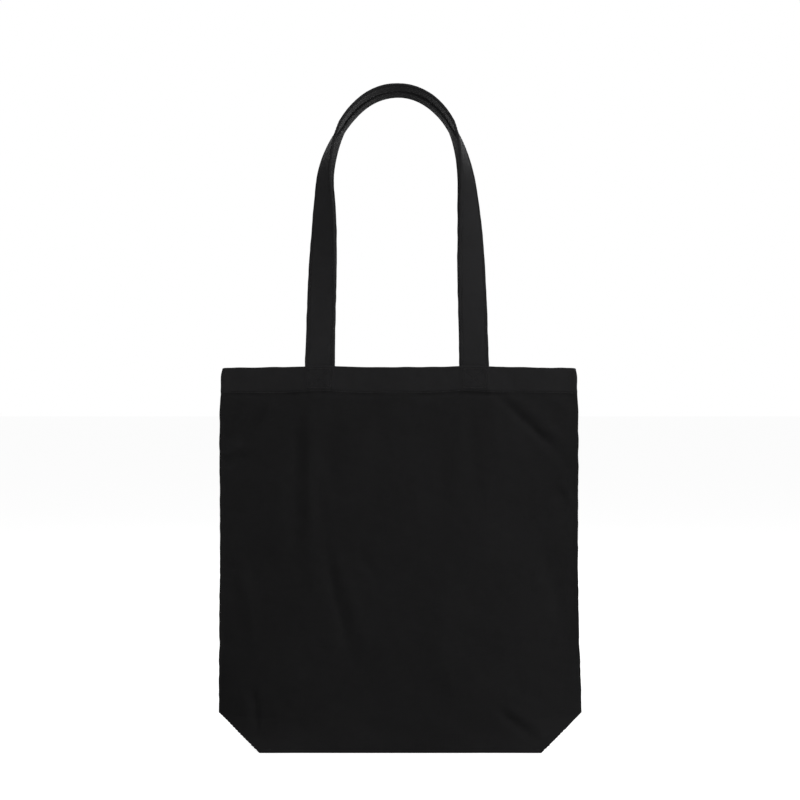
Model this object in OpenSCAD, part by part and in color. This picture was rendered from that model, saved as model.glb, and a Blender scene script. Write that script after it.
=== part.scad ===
// Canvas tote bag with a boxed base and two long handles.
// The origin is at the middle of the base, +Z is up and the front faces -Y.
// Both halves of the bag are alike, so the back is the front mirrored in Y.

/* [Body] */
// Width at the side seams, just above the boxed corners
body_w = 384; // [370:2:400]
// Width across the hem at the mouth
mouth_w = 376; // [360:2:384]
// Height from the base to the top of the hem
body_h = 397; // [340:1:440]
// How far the mouth stands open in the middle, front to back
mouth_gap = 30; // [28:1:44]

/* [Base] */
// Length of the flat base
base_w = 288; // [270:2:310]
// Depth of the flat base, which is the length of each corner seam
base_d = 90; // [60:2:110]
// Height above the base where the corner gussets end
corner_h = 35; // [30:1:50]

/* [Cloth] */
// Thickness of the canvas
canvas_t = 0.8; // [0.6:0.1:1]
// Height of the folded hem
hem_h = 28; // [26:1:40]
// Width of the seam allowances inside the bag
seam_w = 10; // [6:1:14]
// Thickness of the sewing thread
thread_t = 0.7; // [0.5:0.1:1]

/* [Handles] */
// Width of the handle strap
strap_w = 30; // [24:1:34]
// Thickness of the handle strap, four layers of canvas
strap_t = 3; // [2:0.5:4]
// Distance from the middle of the bag to the middle of a handle's end
strap_x = 81.5; // [74:1:90]
// Half the width of the handle's arch, at its middle line
arch_w = 75; // [70:1:82]
// Height of the handle's arch, where the strap curves over
arch_h = 112; // [90:1:130]
// Height of the handle's middle line above the hem, at its top
handle_h = 293.5; // [240:1:330]

/* [Hidden] */

canvas_colour = "#1c1c1d";
strap_colour = "#202022";
thread_colour = "#29292b";

hem_z = body_h - hem_h;        // lower edge of the hem
hem_t = 2 * canvas_t;          // the hem is turned in twice
seam_t = 1.4;                  // two overlocked layers
side_edge = canvas_t + seam_t / 2;  // half the thickness of the bag's side edge
corner_rows = 3;               // rings in the corner gussets
wall_rows = 9;                 // rings from the gussets to the hem
gusset_steps = 2;              // columns on half of a corner gusset
min_edge = 0.3;                // the thinnest gap left inside a side edge
handle_gap = 0.5;              // half the gap between the two handles
fold_gap = 3;                  // bending length left above the hem
end_h = hem_h - 2;             // height of a handle's sewn end
leg_steps = 7;                 // stations on a handle's leg
arch_steps = 22;               // stations on a handle's arch
arch_power = 2;                // how square the arch is, 2 being an ellipse
twist_length = 258;            // strap length over which a leg turns edge on
twist_power = 1.7;             // how late in that length it turns
stitch_inset = 3;              // from an edge to its row of stitches

// Places across the front as parts of its half width; the strap's edges and
// its middle are among them, so the sewn ends lie flat against the hem.
spread = [
    0, 0.09, 0.18, 0.27,
    (strap_x - strap_w / 2) / (mouth_w / 2),
    strap_x / (mouth_w / 2),
    (strap_x + strap_w / 2) / (mouth_w / 2),
    0.62, 0.72, 0.82, 0.91, 0.96, 1
];
half_steps = len(spread) - 1;
strap_steps = [4, 5, 6];                     // the strap's places in spread
columns = 2 * (half_steps + gusset_steps);
left_crease = gusset_steps;
right_crease = columns - gusset_steps;

// Heights of the rings, from the base to the top of the hem
ring_z = concat(
    [for (i = [0 : corner_rows - 1]) corner_h * i / corner_rows],
    [for (i = [0 : wall_rows]) corner_h + (hem_z - corner_h) * pow(i / wall_rows, 1.2)],
    [body_h]
);
rows = len(ring_z) - 1;

function blend(a, b, t) = a + (b - a) * t;
function below_hem(z) = 1 - min(z, hem_z) / hem_z;

// Half the bag's width at a height
function half_width(z) =
    z < corner_h
    ? blend(base_w / 2, body_w / 2, z / corner_h)
    : blend(mouth_w / 2, body_w / 2,
            pow((hem_z - min(z, hem_z)) / (hem_z - corner_h), 1.5));

// Depth of the bag's side edge, which opens into the corner gusset
function edge_depth(z) = max(side_edge, base_d / 2 * (1 - z / corner_h));

// Depth of the panel in the middle
function mid_depth(z) = blend(mouth_gap / 2, base_d / 2, pow(below_hem(z), 2.2));

// Depth of the panel's skin at a part r of the half width, set in by inset
function skin_depth(z, r, inset) =
    let (fullness = 2 + 1.5 * pow(below_hem(z), 2),
         edge = edge_depth(z),
         depth = edge + (mid_depth(z) - edge) * (1 - pow(abs(r), fullness)))
    max(min_edge, depth - inset);

// A point of the front skin at a height, in column j
function skin_point(z, j, inset) =
    let (w = half_width(z) - inset,
         k = j - gusset_steps - half_steps,
         r = sign(k) * spread[min(abs(k), half_steps)],
         edge = max(min_edge, edge_depth(z) - inset),
         lift = z == 0 ? inset : 0)
    j < left_crease ? [-w, -edge * j / gusset_steps, z + lift]
    : j > right_crease ? [w, -edge * (columns - j) / gusset_steps, z + lift]
    : [r * w, -skin_depth(z, r, inset), z + lift];

function skin_row(z, inset, first, last) =
    [for (j = [first : last]) skin_point(z, j, inset)];

// The points of one whole skin: its walls, then the inside of its half base
function panel_skin(inset) = concat(
    [for (z = ring_z) for (p = skin_row(z, inset, 0, columns)) p],
    [for (k = [0 : gusset_steps - 1])
        for (j = [left_crease + 1 : right_crease - 1])
            let (front = skin_point(0, j, inset))
            [front[0], front[1] * k / gusset_steps, front[2]]]
);

function wall_at(i, j) = i * (columns + 1) + j;
function base_at(k, j) =
    k == gusset_steps ? wall_at(0, j)
    : j == left_crease ? wall_at(0, k)
    : j == right_crease ? wall_at(0, columns - k)
    : wall_at(rows + 1, 0) + k * (right_crease - left_crease - 1) + j - left_crease - 1;

// Two triangles on four corners, which run clockwise seen from outside
function quad(a, b, c, d) = [[a, b, c], [a, c, d]];
function flat_list(lists) = [for (l = lists) for (item = l) item];

// A closed slab between two skins of the same grid, outer and inner
module slab(outer, inner) {
    m = len(outer) - 1;
    n = len(outer[0]) - 1;
    shift = (m + 1) * (n + 1);
    function at(i, j) = i * (n + 1) + j;
    faces = concat(
        [for (i = [0 : m - 1]) for (j = [0 : n - 1])
            for (f = quad(at(i, j), at(i + 1, j), at(i + 1, j + 1), at(i, j + 1))) f],
        [for (i = [0 : m - 1]) for (j = [0 : n - 1])
            for (f = quad(shift + at(i, j), shift + at(i, j + 1),
                          shift + at(i + 1, j + 1), shift + at(i + 1, j))) f],
        [for (j = [0 : n - 1])
            for (f = quad(at(m, j), shift + at(m, j), shift + at(m, j + 1), at(m, j + 1))) f],
        [for (j = [0 : n - 1])
            for (f = quad(at(0, j), at(0, j + 1), shift + at(0, j + 1), shift + at(0, j))) f],
        [for (i = [0 : m - 1])
            for (f = quad(at(i, 0), shift + at(i, 0), shift + at(i + 1, 0), at(i + 1, 0))) f],
        [for (i = [0 : m - 1])
            for (f = quad(at(i, n), at(i + 1, n), shift + at(i + 1, n), shift + at(i, n))) f]
    );
    polyhedron(points = concat(flat_list(outer), flat_list(inner)), faces = faces);
}

// A solid swept through rings of corners, each clockwise seen from its start
module swept(rings) {
    m = len(rings) - 1;
    n = len(rings[0]);
    function at(i, j) = i * n + j % n;
    faces = concat(
        [[for (j = [0 : n - 1]) at(0, j)]],
        [[for (j = [n - 1 : -1 : 0]) at(m, j)]],
        [for (i = [0 : m - 1]) for (j = [0 : n - 1])
            for (f = quad(at(i, j), at(i + 1, j), at(i + 1, j + 1), at(i, j + 1))) f]
    );
    polyhedron(points = flat_list(rings), faces = faces);
}

// One half of the bag with its half of the base, cut as a single piece
module panel() {
    shift = len(panel_skin(0));
    faces = concat(
        [for (i = [0 : rows - 1]) for (j = [0 : columns - 1])
            let (a = wall_at(i, j), b = wall_at(i, j + 1),
                 c = wall_at(i + 1, j + 1), d = wall_at(i + 1, j))
            for (f = concat(quad(a, d, c, b), quad(shift + a, shift + b, shift + c, shift + d))) f],
        [for (k = [0 : gusset_steps - 1]) for (j = [left_crease : right_crease - 1])
            let (a = base_at(k, j), b = base_at(k, j + 1),
                 c = base_at(k + 1, j + 1), d = base_at(k + 1, j))
            for (f = concat(quad(a, d, c, b), quad(shift + a, shift + b, shift + c, shift + d))) f],
        [for (j = [0 : columns - 1])
            let (a = wall_at(rows, j), b = wall_at(rows, j + 1))
            for (f = quad(a, shift + a, shift + b, b)) f],
        [for (i = [0 : rows - 1])
            let (a = wall_at(i, 0), b = wall_at(i + 1, 0),
                 c = wall_at(i, columns), d = wall_at(i + 1, columns))
            for (f = concat(quad(shift + a, shift + b, b, a), quad(c, d, shift + d, shift + c))) f],
        [for (j = [left_crease : right_crease - 1])
            let (a = base_at(0, j), b = base_at(0, j + 1))
            for (f = quad(b, shift + b, shift + a, a)) f]
    );
    polyhedron(points = concat(panel_skin(0), panel_skin(canvas_t)), faces = faces);
}

// The turned hem inside the mouth
module hem() {
    outer = [for (z = [hem_z, body_h]) skin_row(z, canvas_t, 0, columns)];
    inner = [for (z = [hem_z, body_h]) skin_row(z, canvas_t + hem_t, 0, columns)];
    slab(outer, inner);
}

// The end of a handle, sewn flat against the inside of the hem, side +1 or -1
module handle_end(side) {
    middle = gusset_steps + half_steps;
    first = side > 0 ? middle + strap_steps[0] : middle - strap_steps[2];
    last = first + strap_steps[2] - strap_steps[0];
    hem_inset = canvas_t + hem_t;
    outer = [for (z = [body_h - end_h, body_h])
        [for (p = skin_row(z, hem_inset, first, last)) [p[0], p[1], z]]];
    inner = [for (row = outer) [for (p = row) [p[0], p[1] + strap_t, p[2]]]];
    slab(outer, inner);
}

// Inside seam allowance of a side seam, from the gusset up to the hem
module side_seam(side) {
    heights = [for (i = [corner_rows : rows - 1]) ring_z[i]];
    rings = [for (z = heights)
        let (edge = half_width(z) - canvas_t, half = seam_t / 2,
             out_x = side * edge, in_x = side * (edge - seam_w))
        side > 0
        ? [[in_x, -half, z], [in_x, half, z], [out_x, half, z], [out_x, -half, z]]
        : [[out_x, -half, z], [out_x, half, z], [in_x, half, z], [in_x, -half, z]]];
    swept(rings);
}

// Inside seam allowance across a boxed corner, lying on the base
module corner_seam(side) {
    outer_x = base_w / 2 - canvas_t;
    length = base_d - 2 * canvas_t - 2;
    translate([side * (outer_x - seam_w / 2), 0, canvas_t + seam_t / 2])
        cube([seam_w, length, seam_t], center = true);
}

// Inside seam allowance along the middle of the base, pressed to the back
module base_seam() {
    length = base_w - 2 * (canvas_t + seam_w + 1);
    translate([-length / 2, 0, canvas_t])
        cube([length, seam_w, seam_t]);
}

// The handle's middle line, as [x, z, length so far from the hem, 1 = left]
leg_h = handle_h - arch_h;
function leg_x(h) = blend(strap_x, arch_w, pow(h / leg_h, 1.2));
function arch_point(a) = [
    -arch_w * sign(cos(a)) * pow(abs(cos(a)), 2 / arch_power),
    leg_h + arch_h * pow(abs(sin(a)), 2 / arch_power)
];
left_leg = [for (i = [0 : leg_steps - 1])
    let (h = blend(fold_gap, leg_h, i / leg_steps)) [-leg_x(h), h]];
arch = [for (i = [0 : arch_steps]) arch_point(180 * i / arch_steps)];
right_leg = [for (i = [leg_steps - 1 : -1 : 0]) [-left_leg[i][0], left_leg[i][1]]];
handle_line = concat(left_leg, arch, right_leg);
stations = len(handle_line) - 1;

function step_length(i) = norm(handle_line[i] - handle_line[i - 1]);
function run_length(i) = i == 0 ? fold_gap : run_length(i - 1) + step_length(i);

// Outer surface of the panel at the middle of a handle's end
panel_y = skin_depth(hem_z, strap_x / (mouth_w / 2), 0);
strap_y = panel_y - canvas_t - hem_t - strap_t / 2;

// The frame of the front handle at a station: middle, width and face directions.
// The inner edge of each leg turns to the front, and the arch lies edge on.
function handle_frame(i) =
    let (before = handle_line[max(i - 1, 0)],
         after = handle_line[min(i + 1, stations)],
         along = (after - before) / norm(after - before),
         s = run_length(min(i, stations - i)),
         turn = 90 * min(1, pow(s / twist_length, twist_power)),
         y = -blend(strap_y, strap_w / 2 + handle_gap, sin(turn)),
         middle = [handle_line[i][0], y, body_h + handle_line[i][1]],
         width = [along[1] * cos(turn), -sin(turn), -along[0] * cos(turn)],
         face = cross([along[0], 0, along[1]], width))
    [middle, width, face];

// One ring of a strip on the handle: its middle across, half width, from and to
// along the face direction
function strap_ring(i, across, half, from, to) =
    let (f = handle_frame(i), m = f[0] + f[1] * across, w = f[1] * half, t = f[2])
    [m - w + t * from, m - w + t * to, m + w + t * to, m + w + t * from];

// The part of a handle above the hem
module handle() {
    rings = [for (i = [0 : stations]) strap_ring(i, 0, strap_w / 2, -strap_t / 2, strap_t / 2)];
    swept(rings);
}

// Rows of edge stitching on both faces of a handle
module handle_rows() {
    across = strap_w / 2 - stitch_inset;
    sunk = strap_t / 2 - thread_t / 2;
    for (side = [-1, 1]) {
        for (face = [-1, 1]) {
            near = min(face * sunk, face * (sunk + thread_t));
            far = max(face * sunk, face * (sunk + thread_t));
            swept([for (i = [0 : stations])
                strap_ring(i, side * across, thread_t / 2, near, far)]);
        }
    }
}

// The row of stitches along the lower edge of the hem, sunk in the panel
module hem_row() {
    z = hem_z + stitch_inset / 2;
    half = thread_t / 2;
    rings = [for (j = [left_crease + 1 : right_crease - 1])
        let (p = skin_point(hem_z, j, 0))
        [[p[0], p[1] - half, z - half], [p[0], p[1] - half, z + half],
         [p[0], p[1] + half, z + half], [p[0], p[1] + half, z - half]]];
    swept(rings);
}

// Square of stitches with a cross, which holds a handle's end
module box_stitch(side) {
    box_w = strap_w - 2 * stitch_inset;
    box_h = end_h - 2 * stitch_inset;
    diagonal = norm([box_w, box_h]);
    slope = atan2(skin_depth(hem_z, strap_x / (mouth_w / 2) - 0.05, 0) - panel_y, 0.05 * mouth_w / 2);
    translate([side * strap_x, -panel_y + thread_t / 2, body_h - end_h / 2])
        rotate([90, 0, side * slope])
        linear_extrude(thread_t) {
            difference() {
                square([box_w + thread_t, box_h + thread_t], center = true);
                square([box_w - thread_t, box_h - thread_t], center = true);
            }
            for (way = [-1, 1])
                rotate(way * atan2(box_h, box_w))
                square([diagonal, thread_t], center = true);
        }
}

module to_back() {
    mirror([0, 1, 0]) children();
}

module front_panel() { color(canvas_colour) panel(); }
module back_panel() { color(canvas_colour) to_back() panel(); }
module front_hem() { color(canvas_colour) hem(); }
module back_hem() { color(canvas_colour) to_back() hem(); }
module left_side_seam() { color(canvas_colour) side_seam(-1); }
module right_side_seam() { color(canvas_colour) side_seam(1); }
module bottom_seam() { color(canvas_colour) base_seam(); }
module left_corner_seam() { color(canvas_colour) corner_seam(-1); }
module right_corner_seam() { color(canvas_colour) corner_seam(1); }
module front_handle() { color(strap_colour) handle(); }
module back_handle() { color(strap_colour) to_back() handle(); }
module front_handle_left_end() { color(strap_colour) handle_end(-1); }
module front_handle_right_end() { color(strap_colour) handle_end(1); }
module back_handle_left_end() { color(strap_colour) to_back() handle_end(-1); }
module back_handle_right_end() { color(strap_colour) to_back() handle_end(1); }
module front_left_box_stitch() { color(thread_colour) box_stitch(-1); }
module front_right_box_stitch() { color(thread_colour) box_stitch(1); }
module back_left_box_stitch() { color(thread_colour) to_back() box_stitch(-1); }
module back_right_box_stitch() { color(thread_colour) to_back() box_stitch(1); }
module front_hem_stitching() { color(thread_colour) hem_row(); }
module back_hem_stitching() { color(thread_colour) to_back() hem_row(); }
module front_handle_stitching() { color(thread_colour) handle_rows(); }
module back_handle_stitching() { color(thread_colour) to_back() handle_rows(); }

front_panel();
back_panel();
front_hem();
back_hem();
left_side_seam();
right_side_seam();
bottom_seam();
left_corner_seam();
right_corner_seam();
front_handle();
back_handle();
front_handle_left_end();
front_handle_right_end();
back_handle_left_end();
back_handle_right_end();
front_left_box_stitch();
front_right_box_stitch();
back_left_box_stitch();
back_right_box_stitch();
front_hem_stitching();
back_hem_stitching();
front_handle_stitching();
back_handle_stitching();
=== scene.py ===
"""Canvas tote bag: its looks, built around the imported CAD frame. In metres, +Z up, the front faces -Y."""
import math

import bmesh
import bpy
import numpy as np
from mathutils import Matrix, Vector


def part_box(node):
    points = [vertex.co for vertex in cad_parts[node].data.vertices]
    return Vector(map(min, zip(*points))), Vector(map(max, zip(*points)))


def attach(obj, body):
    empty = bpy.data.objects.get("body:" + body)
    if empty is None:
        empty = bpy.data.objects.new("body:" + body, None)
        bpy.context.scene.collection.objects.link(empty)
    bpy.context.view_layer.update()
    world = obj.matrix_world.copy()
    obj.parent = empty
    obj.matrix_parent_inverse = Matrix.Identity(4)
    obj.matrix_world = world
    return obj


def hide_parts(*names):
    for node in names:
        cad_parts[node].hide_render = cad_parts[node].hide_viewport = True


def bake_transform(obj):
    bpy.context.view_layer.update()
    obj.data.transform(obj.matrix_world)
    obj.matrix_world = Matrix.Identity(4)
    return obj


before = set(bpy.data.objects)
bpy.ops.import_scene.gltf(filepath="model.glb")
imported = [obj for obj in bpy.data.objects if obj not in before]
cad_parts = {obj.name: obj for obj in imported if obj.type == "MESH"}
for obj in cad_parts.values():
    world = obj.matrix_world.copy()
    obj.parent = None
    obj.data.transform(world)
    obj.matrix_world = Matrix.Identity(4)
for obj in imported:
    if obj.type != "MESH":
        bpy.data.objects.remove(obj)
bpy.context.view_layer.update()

MM = 0.001
SEED = 7

# ---------------------------------------------------------------- sizes, from the frame
CANVAS_T = 0.8 * MM
CORNER_H = 32.6 * MM          # where the corner gussets end
HANDLE_GAP = 0.5 * MM         # half the gap between the two handles at the top
STRAP_W = 30 * MM
STRAP_T = 3 * MM
EDGE_ROW = 12 * MM            # from a strap's middle to the stitches along its edge
SQUARE = (12 * MM, 10 * MM)   # half the width and height of a stitched square
SEAM_W = 10 * MM
ARCH_W = 76 * MM              # half the width of a handle's arch
ARCH_H = 112 * MM
TWIST_LENGTH = 258 * MM
TWIST_POWER = 1.7

PANEL_LOW, PANEL_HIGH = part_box("front_panel")
HEM_LOW, HEM_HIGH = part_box("front_hem")
END_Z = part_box("front_handle_right_end")[0].z     # lower end of a sewn strap
HANDLE_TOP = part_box("front_handle")[1].z
BODY_W = PANEL_HIGH.x - PANEL_LOW.x
BODY_H = PANEL_HIGH.z
BASE_D = -2 * PANEL_LOW.y
HEM_Z = HEM_LOW.z
MOUTH_W = 2 * (HEM_HIGH.x + CANVAS_T)
BASE_W = 2 * (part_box("right_corner_seam")[1].x + CANVAS_T + 1 * MM)     # 2 mm more than the CAD
MOUTH_GAP = 30 * MM
STRAP_X = 81.5 * MM
HANDLE_SHIFT = 2.1 * MM       # both handles are sewn this far left of centre
SHIFT = 1.5 * MM              # the base hangs this far to the right
ARCH_POWER = (2.1, 2.0)       # how square the front and back arches are, 2 being an ellipse
HANDLE_H = HANDLE_TOP - STRAP_T / 2 - BODY_H
LEG_H = HANDLE_H - ARCH_H

FLOOR_GAP = 0.05 * MM         # cloth stays this far above the floor
HEM_R = 1.45 * MM             # radius of the rolled top edge
HEM_STEP = 0.5 * MM           # how far the hem stands proud of the panel
STITCH_Z = HEM_Z + 1.6 * MM   # the row that holds the hem
HEM_LAYER = 0.87 * MM         # how far behind the face the inner layer of the hem starts
STITCH_PITCH = 3.3 * MM
STITCH_R = 0.26 * MM
STITCH_SPAN = (0.12, 0.88)    # the share of its pitch that a stitch covers
FLIP_Y = np.array([1.0, -1.0, 1.0])


def smooth(a, b, x):
    """0 before a, 1 after b, and smooth between."""
    t = np.clip((x - a) / (b - a), 0, 1)
    return t * t * (3 - 2 * t)


def mix(a, b, t):
    return a + (b - a) * t


def bell(x, width):
    """1 at 0, and falling away smoothly on both sides."""
    return np.exp(-(x / width) ** 2)


def unit(vectors):
    return vectors / np.linalg.norm(vectors, axis=-1, keepdims=True)


def run_of(points):
    """Length along a line of points, from its start to each of them."""
    return np.concatenate([[0], np.cumsum(np.linalg.norm(np.diff(points, axis=0), axis=1))])


def resampled_line(at, run, line):
    """Points at lengths along a line of points, whose own lengths are run."""
    return np.stack([np.interp(at, run, line[:, c]) for c in range(line.shape[1])], -1)


def paired(a, b):
    """A grid of pairs from two arrays that broadcast together."""
    return np.stack(np.broadcast_arrays(a, b), -1)


def facing(grid, back):
    """Turns points made for the front to the back."""
    return grid * FLIP_Y if back else grid


def from_strap(x):
    """How far a place on the hem is from the middle of the nearest strap."""
    return np.abs(np.abs(x + HANDLE_SHIFT) - STRAP_X)


def base_shift(z):
    """How far the bag's lean carries it to the right at a height."""
    return SHIFT * smooth(160 * MM, 0, z)


# ---------------------------------------------------------------- the bag's rest shape
def below_hem(z):
    return 1 - np.minimum(z, HEM_Z) / HEM_Z


def half_width(z):
    """Half the bag's width: the CAD profile, with the bulge under the hem that real cloth takes."""
    rise = np.clip((HEM_Z - np.minimum(z, HEM_Z)) / (HEM_Z - CORNER_H), 0, 1)
    wall = MOUTH_W / 2 + (BODY_W - MOUTH_W) / 2 * rise ** 1.5
    wall = wall + 2.0 * MM * smooth(378 * MM, 350 * MM, z) * smooth(170 * MM, 330 * MM, z)
    wall = wall + 0.5 * MM * smooth(360 * MM, 368 * MM, z)
    wall = wall - 1.6 * MM * smooth(384 * MM, BODY_H, z) ** 2
    low = BASE_W / 2 + (BODY_W - BASE_W) / 2 * z / CORNER_H
    return np.where(z < CORNER_H, low, wall)


def edge_depth(z):
    return np.maximum(0.0, BASE_D / 2 * (1 - z / CORNER_H))


def mid_depth(z):
    return MOUTH_GAP / 2 + (BASE_D - MOUTH_GAP) / 2 * below_hem(z) ** 2.2


def skin_depth(z, r):
    fullness = 2 + 1.5 * below_hem(z) ** 2
    edge = np.maximum(edge_depth(z), 0.3 * MM)
    return edge + (mid_depth(z) - edge) * (1 - np.abs(r) ** fullness)


GUSSET_CELLS = 5
FRONT_CELLS = int(round(BASE_W / 2 / (BASE_D / 2 / GUSSET_CELLS)))
SIDE_CELLS = FRONT_CELLS + GUSSET_CELLS
WALL_CELLS = 43
CORNER_CELLS = 5
CELL_ROWS = np.concatenate([np.linspace(0, CORNER_H, CORNER_CELLS + 1),
                            np.linspace(CORNER_H, BODY_H, WALL_CELLS + 1)[1:]])


def section(z, places):
    """Points across the front at height z, at places counted in cells from one side seam to the other."""
    pattern = np.concatenate([
        np.linspace(0, BASE_W / 2, FRONT_CELLS + 1),
        BASE_W / 2 + np.linspace(0, BASE_D / 2, GUSSET_CELLS + 1)[1:]])
    r = np.linspace(0, 1, 240)
    w = float(half_width(np.array(z)))
    x, y = r * w, -skin_depth(z, r)
    y[-1] = -float(edge_depth(z))
    t = np.linspace(0, 1, 24)[1:]
    x = np.concatenate([x, np.full(len(t), w)])
    y = np.concatenate([y, y[-1] * (1 - t)])
    run = np.concatenate([[0], np.cumsum(np.hypot(np.diff(x), np.diff(y)))])
    from_middle = places - SIDE_CELLS
    at = np.interp(np.abs(from_middle), np.arange(SIDE_CELLS + 1), pattern) / pattern[-1] * run[-1]
    across = np.sign(from_middle) * np.interp(at, run, x)
    return np.stack([across, np.interp(at, run, y), np.full(len(at), z)], 1)


def coarse_half():
    """The front wall and its half base as two coarse grids of points."""
    wall = np.array([section(z, np.arange(2 * SIDE_CELLS + 1)) for z in CELL_ROWS])
    base = np.zeros((GUSSET_CELLS + 1, 2 * FRONT_CELLS + 1, 3))
    front_edge = wall[0, GUSSET_CELLS:-GUSSET_CELLS]
    for k in range(GUSSET_CELLS + 1):
        base[k] = front_edge * [1, k / GUSSET_CELLS, 1]
    return wall, base


def grid_faces(ids):
    a, b, c, d = ids[:-1, :-1], ids[:-1, 1:], ids[1:, 1:], ids[1:, :-1]
    return np.stack([a, b, c, d], -1).reshape(-1, 4).tolist()


def weigh(obj, name, weights):
    """Gives an object a vertex group with these weights."""
    group = obj.vertex_groups.new(name=name)
    for i, w in enumerate(weights):
        if w > 0:
            group.add([i], float(w), "REPLACE")


def weld_grids(grids):
    """The separate points of some grids of points, and each grid's indices into them."""
    known, points, index = {}, [], []
    for g in grids:
        ids = np.zeros(g.shape[:2], int)
        for i in range(g.shape[0]):
            for j in range(g.shape[1]):
                key = tuple(np.round(g[i, j] / MM, 2) + 0.0)
                if key not in known:
                    known[key] = len(points)
                    points.append(g[i, j])
                ids[i, j] = known[key]
        index.append(ids)
    return np.array(points), index


CLOTH_FRAMES = 36
MAX_MOVE = 9 * MM


def hang(walls, bases):
    """Runs Blender's cloth on the sewn bag, held at its handles, and returns the settled grids."""
    points, index = weld_grids(walls + bases)
    mesh = bpy.data.meshes.new("cloth")
    mesh.from_pydata(points.tolist(), [], [f for ids in index for f in grid_faces(ids)])
    cloth = place("cloth", mesh)

    x, z = np.abs(points[:, 0]), points[:, 2]
    side = half_width(z) - x
    stiff_parts = [
        (0.10, z > HEM_Z - 5 * MM),
        (0.12, side < 2 * MM),
        (0.45, z < 1 * MM),
        (0.30, (z < CORNER_H) & (side < 6 * MM)),
        (1.00, (z > HEM_Z - 3 * MM) & (np.abs(x - STRAP_X) < STRAP_W / 2 + 3 * MM)),
    ]
    weigh(cloth, "hold", np.max([weight * part for weight, part in stiff_parts], axis=0))
    slack = smooth(8 * MM, 40 * MM, side) * smooth(HEM_Z, HEM_Z - 25 * MM, z) * smooth(0, 20 * MM, z)
    weigh(cloth, "loose", slack)

    m = cloth.modifiers.new("cloth", "CLOTH")
    s = m.settings
    s.quality = 7
    s.mass = 0.05
    s.tension_stiffness = 30
    s.compression_stiffness = 30
    s.shear_stiffness = 12
    s.bending_stiffness = 6
    s.tension_damping = 10
    s.compression_damping = 10
    s.shear_damping = 10
    s.air_damping = 3
    s.vertex_group_mass = "hold"
    s.pin_stiffness = 1.5
    s.vertex_group_shrink = "loose"
    s.shrink_min = 0.0
    s.shrink_max = -0.012
    m.collision_settings.use_collision = False
    m.point_cache.frame_start = 1
    m.point_cache.frame_end = CLOTH_FRAMES
    for f in range(1, CLOTH_FRAMES + 1):
        bpy.context.scene.frame_set(f)
    shown = cloth.evaluated_get(bpy.context.evaluated_depsgraph_get())
    settled = np.array([v.co for v in shown.data.vertices])
    bpy.data.objects.remove(cloth)
    bpy.data.meshes.remove(mesh)
    bpy.context.scene.frame_set(1)
    move = settled - points
    length = np.linalg.norm(move, axis=1, keepdims=True)
    settled = points + move * np.minimum(1, MAX_MOVE / np.maximum(length, 1e-9))
    out = [settled[ids] for ids in index]
    return out[:len(walls)], out[len(walls):]


def resample(grid, t, axis):
    """Catmull-Rom through a grid's points along an axis, at places t counted in cells."""
    g = np.moveaxis(grid, axis, 0)
    g = np.concatenate([[2 * g[0] - g[1]], g, [2 * g[-1] - g[-2]]])
    i = np.clip(np.floor(t).astype(int), 0, len(g) - 4)
    f = (t - i).reshape((-1,) + (1,) * (g.ndim - 1))
    p0, p1, p2, p3 = g[i], g[i + 1], g[i + 2], g[i + 3]
    square = (2 * p0 - 5 * p1 + 4 * p2 - p3) * f ** 2
    cube = (3 * p1 - p0 - 3 * p2 + p3) * f ** 3
    out = 0.5 * (2 * p1 + (p2 - p0) * f + square + cube)
    return np.moveaxis(out, 0, axis)


# ---------------------------------------------------------------- fine places of rows and columns
def fine_rows():
    """Heights of the wall's fine rows: close together at the base fold and in the hem."""
    low = [0, 0.5, 1.1, 1.9, 3.0, 4.5, 6.5]
    mid = np.union1d(np.arange(9.0, (HEM_Z / MM) - 3.4, 2.0), [CORNER_H / MM])
    top = BODY_H - HEM_R
    hem = np.arange(HEM_Z - 3 * MM, top, 1.25 * MM) / MM
    return np.concatenate([low, mid, hem, [top / MM]]) * MM


def fine_columns():
    """Places of the fine columns in coarse cells, close together at the side seams and under the straps."""
    cell = BASE_D / 2 / GUSSET_CELLS
    near = np.array([0, 0.12, 0.4, 0.9, 1.6, 2.6, 4.2, 6.3]) * MM / cell
    places = list(near) + list(np.arange(1, SIDE_CELLS + 1e-6, 1 / 3))
    total = 2 * SIDE_CELLS
    strap_middle = SIDE_CELLS - STRAP_X / (MOUTH_W / 2) * SIDE_CELLS
    places += list(np.arange(strap_middle - 2.1, strap_middle + 2.1, 1 / 7))
    places += [GUSSET_CELLS + d for d in (-0.21, -0.1, 0.1, 0.21)]
    places = np.unique(np.round(places, 3))
    keep = [places[0]]
    for p in places[1:]:
        if p - keep[-1] > 0.011:
            keep.append(p)
    left = np.array([p for p in keep if p < SIDE_CELLS - 0.01])
    return np.concatenate([left, [SIDE_CELLS], total - left[::-1]])


ROWS = fine_rows()
COLUMNS = fine_columns()
FIRST = int(np.argmin(np.abs(COLUMNS - GUSSET_CELLS)))      # the fine columns at the base's corners
LAST = len(COLUMNS) - 1 - FIRST
BASE_ROWS = COLUMNS[:FIRST + 1]
U = (COLUMNS - SIDE_CELLS) * BASE_D / 2 / GUSSET_CELLS      # the columns' places in the flat cloth
REST_WALL = np.array([section(z, COLUMNS) for z in ROWS])


def normals(grid):
    du = np.gradient(grid, axis=1)
    dv = np.gradient(grid, axis=0)
    n = np.cross(du, dv)
    return n / np.maximum(np.linalg.norm(n, axis=-1, keepdims=True), 1e-12)


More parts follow.
